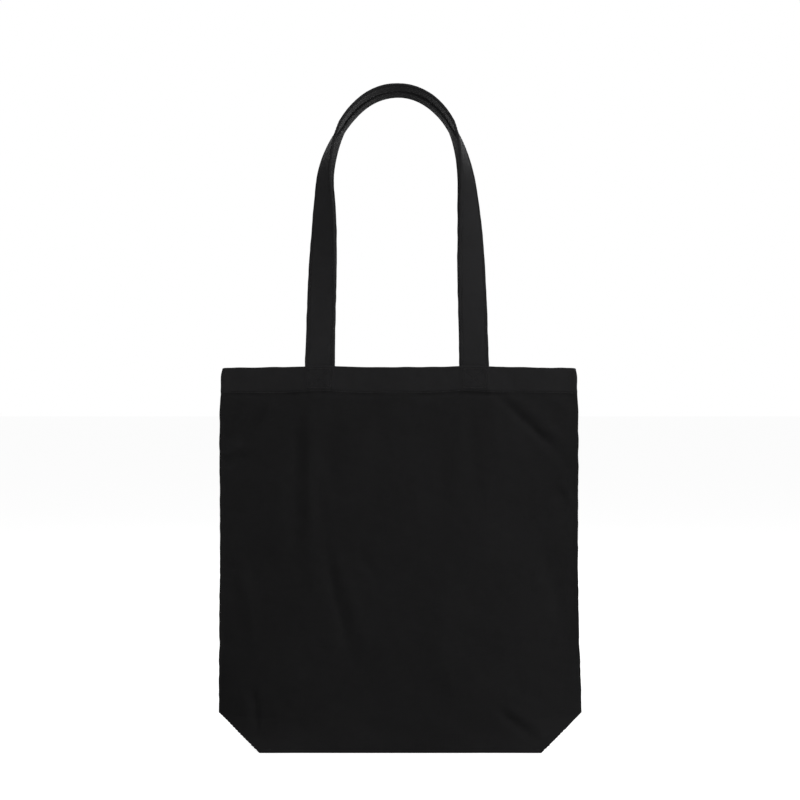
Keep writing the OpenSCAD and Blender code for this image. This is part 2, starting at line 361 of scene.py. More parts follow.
def ripples(x, z, low, high, count, seed):
    """Smooth noise: sines of many directions with wavelengths from low to high, about 1 high."""
    rng = np.random.default_rng(SEED * 100 + seed)
    total = np.zeros_like(x)
    for _ in range(count):
        length = rng.uniform(low, high)
        turn = rng.uniform(0, math.tau)
        phase = rng.uniform(0, math.tau)
        total += np.sin((x * math.cos(turn) + z * math.sin(turn)) * math.tau / length + phase)
    return total / math.sqrt(count)


# Creases of the front as x, z of both ends, width and depth; a valley is below 0 and a ridge above
FRONT_CREASES = [
    (104, 372, 166, 304, 4.5, -2.2), (116, 374, 174, 312, 6.5, 1.2), (150, 330, 178, 292, 7, -0.9),
    (-142, 364, -176, 308, 6, -2.5), (-160, 360, -184, 322, 4.5, 1.7), (-130, 364, -146, 332, 6, 1.3),
    (-166, 322, -188, 302, 3.4, 2.1), (-162, 312, -186, 290, 4, -1.6),
    (102, 47, 147, 3, 4.5, -2.1), (113, 50, 150, 12, 5, 1.1), (128, 62, 160, 38, 6, -0.8),
    (-156, 66, -146, 10, 4.5, -1.9), (-132, 44, -143, 6, 5, -1.2), (-166, 60, -158, 24, 5, 0.9),
    (-92, 372, -90, 170, 8, 1.9), (-106, 366, -106, 180, 8, -1.7), (-66, 366, -74, 250, 9, -0.9),
    (-76, 214, -48, 84, 6, -1.6), (-62, 210, -36, 100, 7, 1.5), (-38, 206, -20, 160, 6, -1.0),
    (64, 366, 60, 230, 10, 1.4), (80, 366, 82, 250, 9, -1.2), (150, 220, 174, 110, 8, -1.4),
    (30, 130, 66, 40, 9, 1.0), (-170, 200, -150, 90, 8, 1.3), (-20, 362, -26, 270, 11, -1.0),
    (168, 276, 188, 250, 4, 1.2),
]
BACK_CREASES = [
    (-112, 366, -152, 310, 4.5, -1.9), (-122, 366, -162, 318, 6.5, 1.2), (122, 364, 164, 326, 5, -1.6),
    (-108, 46, -147, 3, 4.5, -1.9), (106, 54, 146, 5, 4.5, -1.8), (150, 66, 150, 12, 5, -1.2),
    (90, 372, 94, 190, 8, 1.7), (106, 366, 108, 210, 8, -1.5), (-88, 370, -84, 220, 9, 1.4),
    (30, 230, 46, 90, 8, -1.5), (44, 226, 60, 96, 8, 1.3), (-64, 190, -30, 80, 8, 1.4),
    (150, 240, 170, 130, 8, -1.3), (-170, 260, -150, 150, 8, 1.3), (-186, 310, -166, 286, 3.5, 1.4),
]


def crease_height(x, z, creases):
    total = np.zeros_like(x)
    for x0, z0, x1, z1, width, depth in creases:
        x0, z0, x1, z1, width, depth = (v * MM for v in (x0, z0, x1, z1, width, depth))
        dx, dz = x1 - x0, z1 - z0
        length = math.hypot(dx, dz)
        along = ((x - x0) * dx + (z - z0) * dz) / length
        across = ((x - x0) * dz - (z - z0) * dx) / length
        across = across + 2.5 * MM * np.sin(along / length * 4 + x0 * 40)
        fade = smooth(-0.1 * length, 0.35 * length, along) * smooth(1.15 * length, 0.6 * length, along)
        total += depth * bell(across, width) * fade
    return total


def box_cross_distance(x, z):
    """How far a point of the hem is from the lines of the nearest stitched square with a cross."""
    a = from_strap(x)
    half_w, half_h = SQUARE
    b = z - (END_Z + BODY_H) / 2
    a_box, b_box = np.abs(a - half_w), np.abs(np.abs(b) - half_h)
    on_sides = np.where(np.abs(b) <= half_h, a_box, np.hypot(a_box, b_box))
    on_ends = np.where(a <= half_w, b_box, np.hypot(a_box, b_box))
    cross = np.abs(a * half_h - np.abs(b) * half_w) / math.hypot(half_w, half_h)
    cross = np.where((a <= half_w) & (np.abs(b) <= half_h), cross, 1)
    return np.minimum(np.minimum(on_sides, on_ends), cross)


def stitch_height(x, back):
    """Height of the hem's stitch row, which wanders a little."""
    return STITCH_Z + 0.35 * MM * ripples(x, 0, 40 * MM, 120 * MM, 10, 23 + back)


def dress_wall(wall, creases, seed, back):
    """Adds to a settled front wall what cloth and sewing do to it, and returns its outer and inner skins."""
    rows = np.interp(ROWS, CELL_ROWS, np.arange(len(CELL_ROWS)))
    moved = wall - coarse_half()[0]
    fine = REST_WALL + resample(resample(moved, rows, 0), COLUMNS, 1)
    z = np.broadcast_to(ROWS[:, None], fine.shape[:2])
    x = fine[..., 0]
    n = normals(fine)
    side = half_width(z) - np.abs(x)
    inside = smooth(0, 25 * MM, side)
    stitch_row = stitch_height(x, back)
    from_row = z - stitch_row
    in_hem = smooth(-2.2 * MM, 1.0 * MM, from_row)
    height = crease_height(x, z, creases) * smooth(HEM_Z + 2 * MM, HEM_Z - 8 * MM, z)
    calm = inside * smooth(0, 30 * MM, z)
    height += 0.55 * MM * ripples(x, z, 60 * MM, 140 * MM, 22, seed) * calm * (1 - in_hem)
    fine_calm = (1 - 0.4 * in_hem) * smooth(0, 4 * MM, side)
    height += 0.12 * MM * ripples(x, z, 14 * MM, 34 * MM, 40, seed + 1) * fine_calm
    # the hem stands proud, dips at its stitches and puckers under them
    height += HEM_STEP * in_hem
    height -= 0.34 * MM * bell(from_row, 1.1 * MM)
    pucker = ripples(x, z * 0.15, 7 * MM, 15 * MM, 30, seed + 2)
    height += 0.16 * MM * pucker * bell(from_row + 3 * MM, 6 * MM)
    height += 0.10 * MM * pucker * in_hem
    dip = 0.55 + 0.3 * ripples(x, 0, 25 * MM, 70 * MM, 12, seed + 5)
    height -= dip * MM * bell(from_row + 3 * MM, 2.6 * MM)
    # the sewn end behind shows as a low step
    strap_end = smooth(0.8 * MM, -0.8 * MM, from_strap(x) - STRAP_W / 2)
    height += 0.40 * MM * strap_end * smooth(END_Z - 1.5 * MM, END_Z + 1 * MM, z)
    # the stitched squares pull the hem in
    height -= 0.26 * MM * bell(box_cross_distance(x, z), 0.9 * MM) * (z > END_Z)
    # seam puckers down the sides
    pull = ripples(z, x * 0.1, 8 * MM, 26 * MM, 26, seed + 3)
    height += 0.22 * MM * pull * bell(side, 9 * MM) * smooth(CORNER_H, CORNER_H + 12 * MM, z)
    outer = fine + n * height[..., None]
    # the fold at the front of the base is round
    fold = 0.7 * MM * np.exp(-(z / (2.6 * MM)) ** 1.6) * smooth(0, 12 * MM, np.abs(outer[..., 1]))
    outer[..., 1] += fold * 0.7
    outer[..., 2] += fold * 0.7
    # the sides are as thick as their layers
    above = smooth(CORNER_H - 4 * MM, CORNER_H + 10 * MM, z)
    thick = mix(1.45 * MM, 2.5 * MM, in_hem) * above
    d = np.clip(side, 0, None)
    round_edge = thick * np.sqrt(np.clip(1 - (1 - np.clip(d / np.maximum(thick, 1e-6), 0, 1)) ** 2, 0, 1))
    keep = smooth(14 * MM, 4 * MM, d)
    depth = np.maximum(np.abs(outer[..., 1]), np.sqrt(outer[..., 1] ** 2 * 0.25 + round_edge ** 2))
    outer[..., 1] = -mix(np.abs(outer[..., 1]), depth, keep)
    outer[:, [0, -1], 1] = 0
    wander = 0.25 * MM * ripples(z, 0, 20 * MM, 70 * MM, 12, 31) * above * smooth(20 * MM, 0, d)
    outer[..., 0] += np.sign(x) * wander
    outer[:, 0, 0] += 0.3 * MM
    outer[:, -1, 0] -= 0.3 * MM
    n = normals(outer)
    inner = outer - n * CANVAS_T
    inner[..., 1] = np.minimum(inner[..., 1], -0.25 * MM)
    limit = half_width(z) - CANVAS_T
    inner[..., 0] = np.clip(inner[..., 0], -limit, limit)
    inner[:, [0, -1], 1] = 0
    # above the floor, and the inside stays within the outside at the base and its corners
    outer[..., 2] = np.maximum(outer[..., 2], FLOOR_GAP)
    rise = np.clip(1 - z / (6 * MM), 0, 1) ** 2
    inner[..., 2] = np.maximum(inner[..., 2], 0) + (CANVAS_T + FLOOR_GAP) * rise
    share = np.minimum(np.abs(inner[..., 0]) / half_width(inner[..., 2]), 1)
    reach = np.maximum(skin_depth(inner[..., 2], share) - CANVAS_T, 0.25 * MM)
    held = -np.minimum(np.abs(inner[..., 1]), reach)
    inner[..., 1] = np.where(rise > 0, held, inner[..., 1])
    inner[:, [0, -1], 1] = 0
    return outer, inner, facing(n, back)


BASE_RISE = 2.2 * MM          # how far the seam along the base stands up in its middle


def dress_base(base, outer_wall, inner_wall):
    """The half base under a wall, rising a little towards the seam along its middle."""
    columns = COLUMNS[FIRST:LAST + 1] - GUSSET_CELLS
    fine = resample(resample(base, BASE_ROWS, 0), columns, 1)
    x, share = fine[..., 0], BASE_ROWS[:, None] / GUSSET_CELLS
    arch = BASE_RISE * (1 - share ** 2) * smooth(0, 60 * MM, BASE_W / 2 - np.abs(x))
    uneven = 0.2 * MM * ripples(x, fine[..., 1], 18 * MM, 50 * MM, 24, 57) * smooth(1, 0.8, share)
    groove = 0.5 * MM * bell(share * BASE_D / 2, 1.2 * MM)
    fine[..., 2] = FLOOR_GAP + 0.2 * MM + arch + uneven + groove
    inner = fine + np.array([0, 0, CANVAS_T])
    # the side edges run along the lowest row of the gussets
    fine[..., 2] = np.maximum(fine[..., 2], FLOOR_GAP)
    for skin, wall in ((fine, outer_wall), (inner, inner_wall)):
        for c in range(3):
            skin[:, 0, c] = wall[0, :FIRST + 1, c]
            skin[:, -1, c] = wall[0, :LAST - 1:-1, c]
        skin[-1] = wall[0, FIRST:LAST + 1]
    fine[0, :, 1] = 0
    inner[0, :, 1] = 0
    return fine, inner


# ---------------------------------------------------------------- mesh making
def place(name, data):
    obj = bpy.data.objects.new(name, data)
    bpy.context.scene.collection.objects.link(obj)
    return obj


def make_object(name, mesh, angle=50):
    """An object of a smooth mesh whose edges past an angle are sharp."""
    mesh.update()
    for p in mesh.polygons:
        p.use_smooth = True
    mesh.set_sharp_from_angle(angle=math.radians(angle))
    return place(name, mesh)


def mend(mesh, weld=0.0, fill=False):
    """Welds near points, closes open ends where asked, and turns all faces outward."""
    bm = bmesh.new()
    bm.from_mesh(mesh)
    if weld:
        bmesh.ops.remove_doubles(bm, verts=bm.verts, dist=weld)
        bmesh.ops.dissolve_degenerate(bm, edges=bm.edges, dist=1e-6)
    if fill:
        bmesh.ops.holes_fill(bm, edges=[e for e in bm.edges if e.is_boundary], sides=0)
    bmesh.ops.recalc_face_normals(bm, faces=bm.faces)
    bm.to_mesh(mesh)
    bm.free()


def lay_uv(mesh, values):
    layer = mesh.uv_layers.new(name="UVMap")
    layer.data.foreach_set("uv", values.astype(np.float32).reshape(-1))


class Patches:
    """Gathers grids of points with their own texture coordinates into one welded mesh."""

    def __init__(self):
        self.points, self.uv, self.faces = [], [], []

    def grid(self, points, uv):
        points, uv = np.asarray(points, float), np.asarray(uv, float)
        start = sum(len(p) for p in self.points)
        ids = start + np.arange(points.shape[0] * points.shape[1]).reshape(points.shape[:2])
        self.points.append(points.reshape(-1, 3))
        self.uv.append(uv.reshape(-1, 2))
        self.faces.append(np.array(grid_faces(ids)))

    def build(self, name, weld=2e-5, angle=50):
        points, uv = np.concatenate(self.points), np.concatenate(self.uv)
        faces = np.concatenate(self.faces)
        mesh = bpy.data.meshes.new(name)
        mesh.from_pydata(points.tolist(), [], faces.tolist())
        lay_uv(mesh, uv[faces.reshape(-1)])
        mend(mesh, weld)
        return make_object(name, mesh, angle)

    def build_swept(self, name, angle):
        """Builds a piece that was swept from end to end, and closes its ends."""
        obj = self.build(name, 1e-6, angle)
        mend(obj.data, fill=True)
        return obj


BACK_U = 1.0                  # keeps the back's texture apart from the front's


def panel_piece(name, wall, base, back):
    """One panel of the bag as a closed cloth shell: wall, half base and the rims around them."""
    outer, inner, base_outer, base_inner = (facing(g, back) for g in (*wall, *base))
    u = U[None, :] + back * BACK_U
    wall_uv = paired(u, ROWS[:, None])
    base_v = (BASE_ROWS / GUSSET_CELLS - 1) * BASE_D / 2
    base_uv = paired(u[:, FIRST:LAST + 1], base_v[:, None])
    patches = Patches()
    for skins, uv in (((outer, inner), wall_uv), ((base_outer, base_inner), base_uv)):
        for skin in skins:
            patches.grid(skin, uv)
    rims = [(outer[-1], inner[-1], wall_uv[-1], (0, CANVAS_T)),
            (outer[:, 0], inner[:, 0], wall_uv[:, 0], (CANVAS_T, 0)),
            (outer[:, -1], inner[:, -1], wall_uv[:, -1], (CANVAS_T, 0)),
            (base_outer[0], base_inner[0], base_uv[0], (0, CANVAS_T))]
    for outside, inside, uv, step in rims:
        patches.grid([outside, inside], [uv, uv + step])
    return patches.build(name)


HEM_V = 0.4                   # the hem's texture starts above the panel's


def hem_piece(name, outer, n, back):
    """The turned hem: a roll over the mouth's edge, then two layers down the inside."""
    outer = facing(outer, back)
    rows = [i for i, z in enumerate(ROWS) if z >= HEM_Z - 0.2 * MM]
    top, low = rows[-1], rows[0]
    up = np.array([0, 0, 1.0])
    wave = 0.22 * MM * ripples(outer[top, :, 0], 0, 18 * MM, 60 * MM, 14, 41 + back)[:, None]
    sag = 0.35 * MM * ripples(outer[low, :, 0], 0, 25 * MM, 80 * MM, 10, 43 + back)[:, None]
    loop = []
    for a in np.linspace(0, math.pi, 11):
        back_by = HEM_R * (1 - math.cos(a))
        loop.append(outer[top] - n[top] * back_by + up * math.sin(a) * (HEM_R + wave))
    loop += [outer[i] - n[i] * 2 * HEM_R for i in rows[-2::-1]]
    for inset, drop in ((2.75, 0.5), (2.3, 0.85), (1.7, 0.9), (1.15, 0.6)):
        loop.append(outer[low] - n[low] * inset * MM - up * (drop * MM + sag))
    loop += [outer[i] - n[i] * HEM_LAYER for i in rows]
    loop.append(loop[0])
    loop = np.array(loop)
    # each hem keeps to its own side of the seams
    side = -1 if back else 1
    loop[..., 1] = side * np.minimum(side * loop[..., 1], -0.12 * MM)
    run = run_of(loop[:, len(COLUMNS) // 2])
    patches = Patches()
    patches.grid(loop, paired(U[None, :] + back * BACK_U, HEM_V + run[:, None]))
    return patches.build_swept(name, angle=60)


class Surface:
    """Finds points and normals on a dressed wall by x and height."""

    def __init__(self, outer, n, back):
        self.points = facing(outer, back)
        self.normals = n

    def at(self, x, z, inset=0.0):
        i = int(np.clip(np.searchsorted(ROWS, z) - 1, 0, len(ROWS) - 2))
        f = (z - ROWS[i]) / (ROWS[i + 1] - ROWS[i])
        row = mix(self.points[i], self.points[i + 1], f)
        n_row = mix(self.normals[i], self.normals[i + 1], f)
        p = resampled_line(x, row[:, 0], row)
        n = unit(resampled_line(x, row[:, 0], n_row))
        return p - n * inset, n


# ---------------------------------------------------------------- stitches
# a stitch's rings as share of its length, lift and width in thread radii
STITCH_RINGS = ((0.0, -0.5, 0.45), (0.08, 0.25, 0.85), (0.3, 0.75, 1.0), (0.5, 0.85, 1.05),
                (0.7, 0.75, 1.0), (0.92, 0.25, 0.85), (1.0, -0.5, 0.45))
STITCH_SIDES = 6


def stitches_piece(name, marks, radius=STITCH_R):
    """Stitches between pairs of points: each one comes out of the cloth, lies along it and goes back in."""
    rng = np.random.default_rng(SEED + len(marks))
    points, faces, uv = [], [], []
    for a, b, n in marks:
        a, b, n = np.array(a), np.array(b), np.array(n)
        along = b - a
        length = np.linalg.norm(along)
        along = along / length
        side = unit(np.cross(n, along))
        up = np.cross(along, side)
        side = side + along * rng.normal(0, 0.02)
        skew = side * rng.normal(0, 0.05 * radius / STITCH_R) * MM
        r0 = radius * rng.uniform(0.92, 1.08)
        start = len(points)
        for t, lift, scale in STITCH_RINGS:
            c = a + along * length * t + up * r0 * lift + skew * (t - 0.5) * 2
            for k in range(STITCH_SIDES):
                w = math.tau * k / STITCH_SIDES
                points.append(c + (side * math.cos(w) + up * math.sin(w) * 0.85) * r0 * scale)
                uv.append((t * length, k / STITCH_SIDES * radius * 6))
        count = len(STITCH_RINGS)
        for i in range(count - 1):
            for k in range(STITCH_SIDES):
                k2 = (k + 1) % STITCH_SIDES
                row, after = start + i * STITCH_SIDES, start + (i + 1) * STITCH_SIDES
                faces.append((row + k, row + k2, after + k2, after + k))
        faces.append(tuple(start + k for k in range(STITCH_SIDES))[::-1])
        faces.append(tuple(start + (count - 1) * STITCH_SIDES + k for k in range(STITCH_SIDES)))
    mesh = bpy.data.meshes.new(name)
    mesh.from_pydata([tuple(p) for p in points], [], faces)
    lay_uv(mesh, np.array(uv)[np.concatenate([np.array(f) for f in faces])])
    mend(mesh)
    return make_object(name, mesh, 80)


def thread_tube(patches, path, radius, sides=6):
    """Adds a thin tube along a path of points to the patches."""
    path = np.asarray(path)
    along = unit(np.gradient(path, axis=0))
    side = unit(np.cross(along, [0.13, 0.31, 0.94]))
    up = np.cross(side, along)
    rings = []
    for k in range(sides + 1):
        w = math.tau * k / sides
        rings.append(path + (side * math.cos(w) + up * math.sin(w)) * radius)
    rings = np.stack(rings, 1)
    patches.grid(rings, paired(run_of(path)[:, None], np.linspace(0, 6 * radius, sides + 1)[None, :]))


def row_marks(surface, xs, zs, inset=0.0, inward=False):
    """Marks for a row of stitches on a wall, one from each x to the next."""
    marks = []
    for a, b, z in zip(xs[:-1], xs[1:], zs):
        p, n = surface.at(mix(a, b, STITCH_SPAN[0]), z, inset)
        q, m = surface.at(mix(a, b, STITCH_SPAN[1]), z, inset)
        marks.append((p, q, -(n + m) / 2 if inward else (n + m) / 2))
    return marks


def box_cross_lines():
    """The stitched square with a cross as lines in the strap's own width and height."""
    w, h = SQUARE
    corners = [(-w, -h), (w, -h), (w, h), (-w, h), (-w, -h)]
    lines = list(zip(corners[:-1], corners[1:]))
    lines += [((-w, -h), (w, h)), ((-w, h), (w, -h))]
    return lines


def along_line(a, b, pitch):
    """Both ends of each stitch on a straight line."""
    a, b = np.array(a), np.array(b)
    count = max(1, int(round(np.linalg.norm(b - a) / pitch)))
    for i in range(count):
        yield tuple(mix(a, b, (i + share) / count) for share in STITCH_SPAN)


# ---------------------------------------------------------------- handles
STRAP_Y = float(skin_depth(HEM_Z, STRAP_X / (MOUTH_W / 2))) - CANVAS_T * 3 - STRAP_T / 2


def handle_lean(h):
    """How far to the left a handle hangs at a height above the hem, since it is sewn a little off centre."""
    drift = 1.6 * MM * smooth(0.50 * HANDLE_H, 0.72 * HANDLE_H, h)
    return HANDLE_SHIFT + drift - 2.4 * MM * smooth(0.68 * HANDLE_H, HANDLE_H, h)


def handle_path(power):
    """Points of a handle's middle line, sewn end to sewn end, as x and height above the hem."""
    sewn = END_Z - BODY_H
    left = [(-STRAP_X, h) for h in np.linspace(sewn, 0, 12)[:-1]]
    left += [(-mix(STRAP_X, ARCH_W, (h / LEG_H) ** 1.2), h) for h in np.linspace(0, LEG_H, 60)[:-1]]
    arch = []
    for a in np.linspace(0, math.pi, 121):
        c, s = math.cos(a), math.sin(a)
        x = -ARCH_W * math.copysign(abs(c) ** (2 / power), c)
        arch.append((x, LEG_H + ARCH_H * abs(s) ** (2 / power)))
    right = [(-x, h) for x, h in left[::-1]]
    path = np.array(left + arch + right)
    run = run_of(path)
    # stations are close together where the strap bends over the hem
    bend = BODY_H - END_Z
    dense = np.arange(bend - 6 * MM, bend + 14 * MM, 0.8 * MM)
    middle = np.linspace(dense[-1] + 2 * MM, run[-1] - dense[-1] - 2 * MM, int(run[-1] / (2.4 * MM)))
    low = np.arange(0, dense[0] - 1 * MM, 2 * MM)
    at = np.concatenate([low, dense, middle, run[-1] - dense[::-1], run[-1] - low[::-1]])
    path = resampled_line(at, run, path)
    for _ in range(3):
        path[1:-1, 0] = (path[:-2, 0] + 2 * path[1:-1, 0] + path[2:, 0]) / 4
    path[:, 0] -= handle_lean(path[:, 1])
    return path, at


class Strap:
    """A handle's middle line with its width and face directions at each station."""

    def __init__(self, back):
        path, run = handle_path(ARCH_POWER[back])
        along = unit(np.gradient(path, axis=0))
        free = np.clip(np.minimum(run, run[-1] - run) - (BODY_H - END_Z), 0, None)
        turn = np.radians(90 * np.minimum(1, (free / TWIST_LENGTH) ** TWIST_POWER))
        y = -(STRAP_Y + (STRAP_W / 2 + HANDLE_GAP - STRAP_Y) * np.sin(turn))
        width = np.stack([along[:, 1] * np.cos(turn), -np.sin(turn), -along[:, 0] * np.cos(turn)], 1)
        tangent = np.stack([along[:, 0], 0 * y, along[:, 1]], 1)
        self.run = run
        self.middle = facing(np.stack([path[:, 0], y, BODY_H + path[:, 1]], 1), back)
        self.width = facing(width, back)
        self.face = facing(np.cross(tangent, width), back)

    def point(self, run, across, lift):
        m, w, f = (resampled_line(run, self.run, v) for v in (self.middle, self.width, self.face))
        return m + w * across + f * lift, unit(f)


def strap_lift(a):
    """The strap's surface above its middle plane: crowned, and pulled in at its edge stitches."""
    edge = np.clip((a - (STRAP_W / 2 - 1.5 * MM)) / (1.5 * MM), 0, 1)
    crown = 0.94 * np.sqrt(1 - 0.93 * edge ** 2) + 0.06 * np.cos(a / (STRAP_W / 2) * 1.5)
    return STRAP_T / 2 * crown - 0.30 * MM * bell(a - EDGE_ROW, 0.75 * MM)


def strap_section():
    """The outline of a strap folded in four and sewn down both edges, as across and lift."""
    half_w = STRAP_W / 2
    acrosses = np.array([0, 3, 6, 8.5, 10.2, 11.1, 11.7, 12.0, 12.3, 12.9, 13.6, 14.2, 14.65]) * MM
    top = [(a, strap_lift(a)) for a in acrosses]
    # the open edge shows a groove between its two folds, the other edge is one fold
    fold_side = [(half_w - a * MM, t * MM) for a, t in ((0.05, 0.45), (0, 0), (0.05, -0.45))]
    groove = ((0.02, -0.62), (0.10, -0.25), (0.75, 0.0), (0.10, 0.25), (0.02, 0.62))
    open_side = [(-half_w + a * MM, t * MM) for a, t in groove]
    right_bottom = [(a, -t) for a, t in top[::-1]]
    left_bottom = [(-a, -t) for a, t in top[1:]]
    left_top = [(-a, t) for a, t in top[:0:-1]]
    return top + fold_side + right_bottom + left_bottom + open_side + left_top


def strap_piece(name, strap, seed):
    """The strap swept along its handle, a little uneven in width and thickness."""
    outline = np.array(strap_section())
    across = np.broadcast_to(outline[None, :, 0], (len(strap.run), len(outline)))
    lift = np.broadcast_to(outline[None, :, 1], across.shape)
    run = np.broadcast_to(strap.run[:, None], across.shape)
    middle = smooth(STRAP_W / 2, STRAP_W / 2 - 4 * MM, np.abs(across))
    bump = 0.10 * MM * ripples(run, across, 9 * MM, 22 * MM, 26, seed) * middle
    sway = 0.16 * MM * ripples(run, across, 30 * MM, 90 * MM, 14, seed + 1)
    edge_wave = 0.14 * MM * ripples(run, 0, 10 * MM, 40 * MM, 20, seed + 2)
    near_row = bell(np.abs(across) - EDGE_ROW, 1.6 * MM)
    pucker = 0.10 * MM * np.sin(run / (STITCH_PITCH * 2) * math.tau) * near_row
    lift = lift + np.sign(lift) * (bump + pucker) + sway
    free = np.minimum(run, strap.run[-1] - run) - (BODY_H - END_Z)
    flare = 1 + 0.03 * bell(free, 25 * MM)
    across = across * (flare + edge_wave / (STRAP_W / 2))
    grid = strap.middle[:, None] + strap.width[:, None] * across[..., None]
    grid = grid + strap.face[:, None] * lift[..., None]
    around = run_of(np.concatenate([outline, outline[:1]]))
    patches = Patches()
    patches.grid(np.concatenate([grid, grid[:, :1]], 1), paired(around[None, :], strap.run[:, None]))
    return patches.build_swept(name, angle=65)


def strap_marks(strap):
    """Edge stitching of a handle, on both faces."""
    marks = []
    count = int(strap.run[-1] / STITCH_PITCH)
    lift = STRAP_T / 2 - 0.24 * MM
    for face in (-1, 1):
        for row in (-EDGE_ROW, EDGE_ROW):
            for i in range(1, count - 1):
                a, b = ((i + share) / count * strap.run[-1] for share in STITCH_SPAN)
                p, n = strap.point(a, row, face * lift)
                q, m = strap.point(b, row, face * lift)
                marks.append((p, q, face * (n + m) / 2))
    return marks


# ---------------------------------------------------------------- seam allowances inside
SEAM_STEP = 4 * MM            # between the stations of a seam allowance
OVERLOCK = 2.6 * MM           # pitch and depth of the overlock stitches


def overlocked_strip(name, inner_edge, outer_edge, normal, wave_seed):
    """A seam allowance of two layers between two lines of points, ruffled along its free edge."""
    along = np.arange(len(inner_edge)) * SEAM_STEP
    wave = 0.5 * MM * ripples(along, 0, 20 * MM, 60 * MM, 12, wave_seed)
    normal = np.array(normal)
    free = inner_edge + normal * wave[:, None]
    top, bottom = [], []
    for share, half in ((0, 0.7), (0.25, 0.7), (0.5, 0.7), (0.75, 0.7), (0.94, 0.7), (1.0, 0.385)):
        line = mix(outer_edge, free, share)
        top.append(line + normal * half * MM)
        bottom.append(line - normal * half * MM)
    loop = np.array(top + bottom[::-1] + [top[0]])
    patches = Patches()
    around = 2.0 + np.arange(len(loop))[:, None] * 1.8 * MM
    patches.grid(loop, paired(run_of(outer_edge)[None, :], around))
    return patches.build_swept(name, angle=40), free


def overlock_thread(name, edges):
    """Overlock stitches: thread that loops over the free edges of the seam allowances."""
    patches = Patches()
    for free, outward, normal in edges:
        run = run_of(free)
        at = np.linspace(0, run[-1], int(run[-1] / (0.5 * MM)))
        phase = at / OVERLOCK * math.tau
        over = OVERLOCK * (1 - np.cos(phase)) / 2 - 0.35 * MM
        lift = 0.9 * MM * np.sin(phase)
        path = resampled_line(at, run, free) + np.array(outward) * over[:, None]
        thread_tube(patches, path + np.array(normal) * lift[:, None], 0.22 * MM, 5)
    return patches.build_swept(name, angle=80)


# ---------------------------------------------------------------- materials
class Material:
    """A material whose nodes are added one by one."""

    def __init__(self, name):
        self.made = bpy.data.materials.new(name)
        self.made.use_nodes = True
        self.nodes, self.link = self.made.node_tree.nodes, self.made.node_tree.links.new
        self.nodes.clear()
        out = self.nodes.new("ShaderNodeOutputMaterial")
        self.shader = self.nodes.new("ShaderNodeBsdfPrincipled")
        self.link(self.shader.outputs[0], out.inputs[0])

    def put(self, socket, value):
        """Links a socket to another one, or sets its constant."""
        if isinstance(value, bpy.types.NodeSocket):
            self.link(value, socket)
        else:
            socket.default_value = value

    def node(self, kind, *values):
        """A node with its sockets filled from pairs of socket and value."""
        n = self.nodes.new("ShaderNode" + kind)
        for socket, value in values:
            self.put(n.inputs[socket], value)
        return n

    def math(self, kind, *values):
        n = self.node("Math", *enumerate(values))
        n.operation = kind
        return n.outputs[0]

    def noise(self, vector, scale, detail, rough, stretch=None):
        if stretch:
            vector = self.node("Mapping", ("Scale", stretch), ("Vector", vector)).outputs[0]
        values = ("Scale", scale), ("Detail", detail), ("Roughness", rough), ("Vector", vector)
        return self.node("TexNoise", *values).outputs["Fac"]

    def ramp(self, value, low, high, to_low, to_high):
        limits = ("From Min", low), ("From Max", high), ("To Min", to_low), ("To Max", to_high)
        return self.node("MapRange", *limits, ("Value", value)).outputs[0]

    def blend(self, share, a, b, kind="MIX"):
        n = self.node("Mix")
        n.data_type = "RGBA"
        n.blend_type = kind
        for socket, value in ((0, share), (6, a), (7, b)):
            self.put(n.inputs[socket], value)
        return n.outputs[2]

    def flat_place(self):
        """Where a point is in the flat cloth or along the thread: both together and one by one."""
        uv = self.node("UVMap")
        uv.uv_map = "UVMap"
        split = self.node("SeparateXYZ", (0, uv.outputs[0]))
        return uv.outputs[0], split.outputs[0], split.outputs[1]

    def bump(self, height, distance):
        values = ("Strength", 1.0), ("Distance", distance), ("Height", height)
        self.put(self.shader.inputs["Normal"], self.node("Bump", *values).outputs[0])

    def finish(self, **values):
        """Fills the shader's sockets, whose names are given with _ for a space."""
        for key, value in values.items():
            self.put(self.shader.inputs[key.replace("_", " ")], value)
        return self.made


